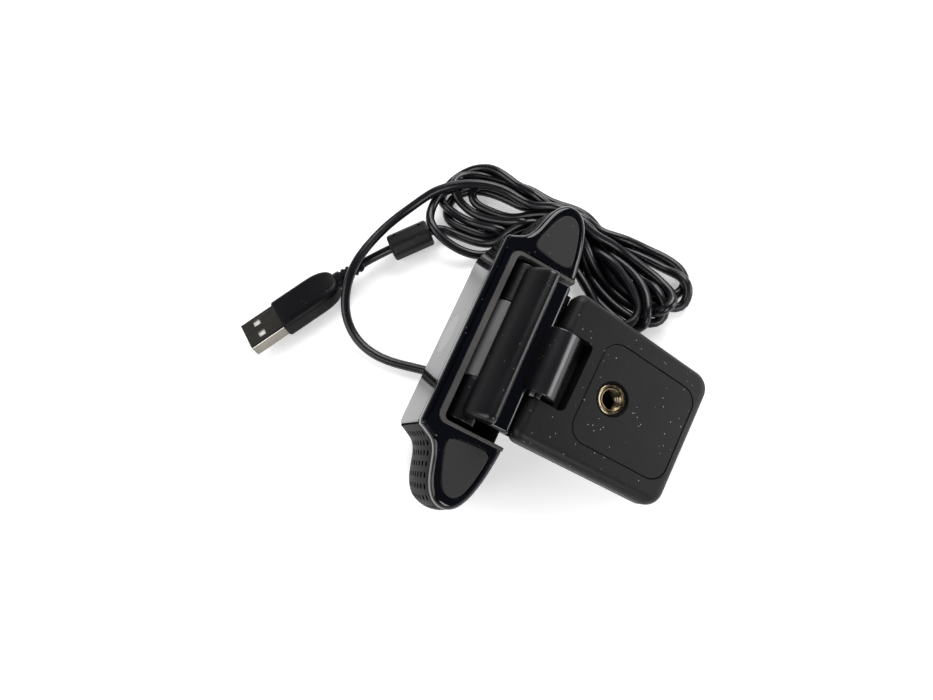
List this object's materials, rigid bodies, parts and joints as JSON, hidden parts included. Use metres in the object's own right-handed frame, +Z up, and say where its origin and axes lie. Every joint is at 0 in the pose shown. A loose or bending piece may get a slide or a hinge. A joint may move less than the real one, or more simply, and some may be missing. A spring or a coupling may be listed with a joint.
{
  "type": "webcam",
  "caption": "Clip-on webcam lying upside down: wide camera body with grille cheeks, tilt arm, folding foot with a tripod thread, and a corded USB plug.",
  "frame": {"origin": "middle of the bottom of the box round the webcam without its cord, on the table it lies on", "axes": "+X along the camera and both hinge axes, +Y from the front panel towards the foot's free end, +Z up from the table"},
  "size_m": [0.1147, 0.145, 0.0387],
  "materials": {
    "gloss_black": "mirror-gloss black moulding",
    "satin_black": "satin black moulding",
    "matte_charcoal": "fine matte charcoal",
    "grille_grey": "soft-touch dark grey",
    "pad_rubber": "smooth dark rubber",
    "cord_pvc": "satin black cord jacket",
    "steel": "plain steel",
    "brass": "machined brass",
    "nickel": "nickel-plated steel, slightly warm",
    "lens_glass": "dark coated glass",
    "circuit_board": "green laminate",
    "white_insulator": "white insulator"
  },
  "bodies": {
    "camera": {"top_cap": "satin_black", "front_panel": "gloss_black", "cheek_grille_a": "grille_grey", "cheek_grille_b": "grille_grey", "rear_cover": "satin_black", "inner_frame": "matte_charcoal", "underside_bezel": "gloss_black", "ear_pad_a": "pad_rubber", "ear_pad_b": "pad_rubber", "hinge_well_tray": "grille_grey", "hinge_lug_a": "satin_black", "hinge_lug_b": "satin_black", "tilt_hinge_pin": "steel", "friction_washer_a": "steel", "friction_washer_b": "steel", "tray_screw_a": "steel", "tray_screw_b": "steel", "lens_window": "lens_glass", "lens_ring": "satin_black", "lens_barrel": "satin_black", "image_sensor": "lens_glass", "main_board": "circuit_board", "microphone_a": "steel", "microphone_b": "steel", "cord_gland": "cord_pvc", "cord_body_run": "cord_pvc", "cord_hank": "cord_pvc", "cord_ferrite_run": "cord_pvc", "cord_plug_run": "cord_pvc", "ferrite_sleeve": "matte_charcoal", "plug_shell": "nickel", "plug_tongue": "white_insulator", "plug_contact_1": "brass", "plug_contact_2": "brass", "plug_contact_3": "brass", "plug_contact_4": "brass", "plug_moulding": "cord_pvc", "plug_relief": "cord_pvc"},
    "arm": {"arm_cover": "gloss_black", "arm_core": "satin_black"},
    "foot": {"foot_shell": "matte_charcoal", "foot_inset_panel": "matte_charcoal", "foot_grip_pad": "pad_rubber", "thread_insert": "brass", "fold_hinge_pin": "steel"}
  },
  "joints": [
    {"name": "camera_tilt", "type": "hinge", "parent": "camera", "child": "arm", "pos_m": [0, -0.01871, 0.02754], "axis": [1, 0, 0], "range_deg": [0, 35]},
    {"name": "foot_fold", "type": "hinge", "parent": "arm", "child": "foot", "pos_m": [0, -0.00164, 0.0269], "axis": [1, 0, 0], "range_deg": [0, 100]}
  ]
}
